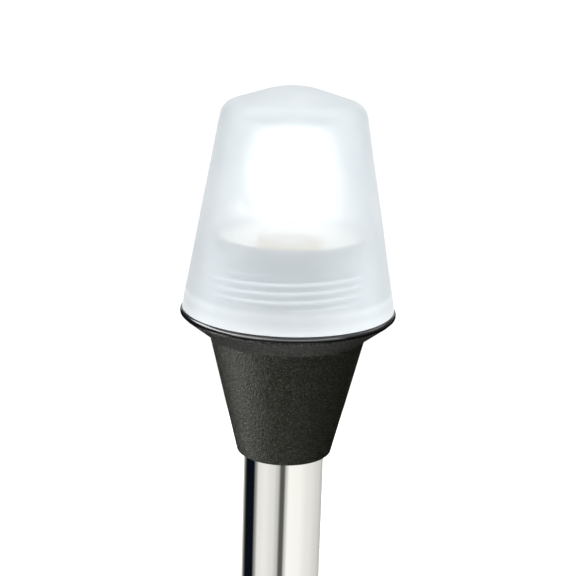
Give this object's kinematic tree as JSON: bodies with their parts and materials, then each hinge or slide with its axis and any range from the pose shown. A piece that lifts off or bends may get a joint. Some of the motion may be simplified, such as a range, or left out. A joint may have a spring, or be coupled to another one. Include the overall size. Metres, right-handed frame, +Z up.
{
  "type": "navigation light",
  "caption": "Plug-in all-round boat light: frosted screw-on globe on a black dish and tapered collar, polished tube, bayonet bulb, and a deck socket with a locking ring.",
  "frame": {"origin": "on the tube's axis, at the underside of the deck gasket", "axes": "+Z up along the tube to the globe's tip; +X to the right seen from the front; -Y to the front, with the collar's grub screw at the rear"},
  "size_m": [0.064, 0.064, 0.2509],
  "materials": {
    "frosted_globe": "frosted, translucent white",
    "black_gloss": "glossy black",
    "black_grained": "black, fine grain",
    "steel": "plain",
    "nylon": "off-white, smooth",
    "white_enamel": "white, glossy",
    "brass": "plain",
    "dark_glass": "black, glossy",
    "clear_glass": "clear",
    "filament_wire": "tungsten coil",
    "polished_tube": "mirror polished",
    "black_rubber": "matte black",
    "solder": "tin-grey solder",
    "red_insulation": "red insulation",
    "black_insulation": "black insulation"
  },
  "bodies": {
    "deck_socket": {"deck_base": "black_grained", "base_gasket": "black_rubber", "contact_carrier": "nylon", "socket_contact_live": "brass", "socket_contact_return": "brass", "terminal_screw_live": "steel", "terminal_screw_return": "steel", "gland_ring": "black_rubber"},
    "washer": {"slip_washer": "steel"},
    "collar": {"locking_collar": "black_grained"},
    "pole": {"pole_tube": "polished_tube", "plug_insert": "nylon", "plug_o_ring": "black_rubber", "plug_pin_live": "brass", "plug_pin_return": "brass", "wire_live": "red_insulation", "wire_return": "black_insulation", "head_housing": "black_grained", "collar_screw": "steel", "lamp_plate": "nylon", "plate_screw_left": "steel", "plate_screw_right": "steel", "socket_shell": "brass", "reflector": "white_enamel", "contact_barrel_live": "brass", "contact_barrel_return": "brass", "contact_spring_live": "steel", "contact_spring_return": "steel"},
    "seal": {"globe_seal": "black_gloss"},
    "globe": {"globe": "frosted_globe"},
    "contacts": {"contact_plunger_live": "brass", "contact_plunger_return": "brass"},
    "bulb": {"bulb_cap": "brass", "cap_insulator": "dark_glass", "cap_contact_live": "solder", "cap_contact_return": "solder", "bulb_glass": "clear_glass", "filament_mount": "clear_glass", "filament": "filament_wire"}
  },
  "joints": [
    {"name": "pole_pull", "type": "slide", "parent": "deck_socket", "child": "pole", "axis": [0, 0, 1], "range_m": [0, 0.055]},
    {"name": "collar_lift", "type": "slide", "parent": "deck_socket", "child": "washer", "axis": [0, 0, 1], "range_m": [0, 0.0046]},
    {"name": "collar_twist", "type": "hinge", "parent": "washer", "child": "collar", "pos_m": [0, 0, 0.036], "axis": [0, 0, 1], "range_deg": [0, 540]},
    {"name": "globe_lift", "type": "slide", "parent": "pole", "child": "seal", "axis": [0, 0, 1], "range_m": [0, 0.0085]},
    {"name": "globe_twist", "type": "hinge", "parent": "seal", "child": "globe", "pos_m": [0, 0, 0.2], "axis": [0, 0, 1], "range_deg": [0, 720]},
    {"name": "bulb_press", "type": "slide", "parent": "pole", "child": "bulb", "axis": [0, 0, -1], "range_m": [0, 0.0018], "stiffness_N_per_m": 1500, "springref_m": -0.002},
    {"name": "contact_press", "type": "slide", "parent": "pole", "child": "contacts", "axis": [0, 0, -1], "range_m": [0, 0.0019], "deforming": ["contact_spring_live", "contact_spring_return"]}
  ],
  "couplings": [
    {"joint": "collar_lift", "follows": "collar_twist", "m_per_rad": 0.00047746},
    {"joint": "globe_lift", "follows": "globe_twist", "m_per_rad": 0.0006207},
    {"joint": "contact_press", "follows": "bulb_press", "ratio": 1}
  ]
}
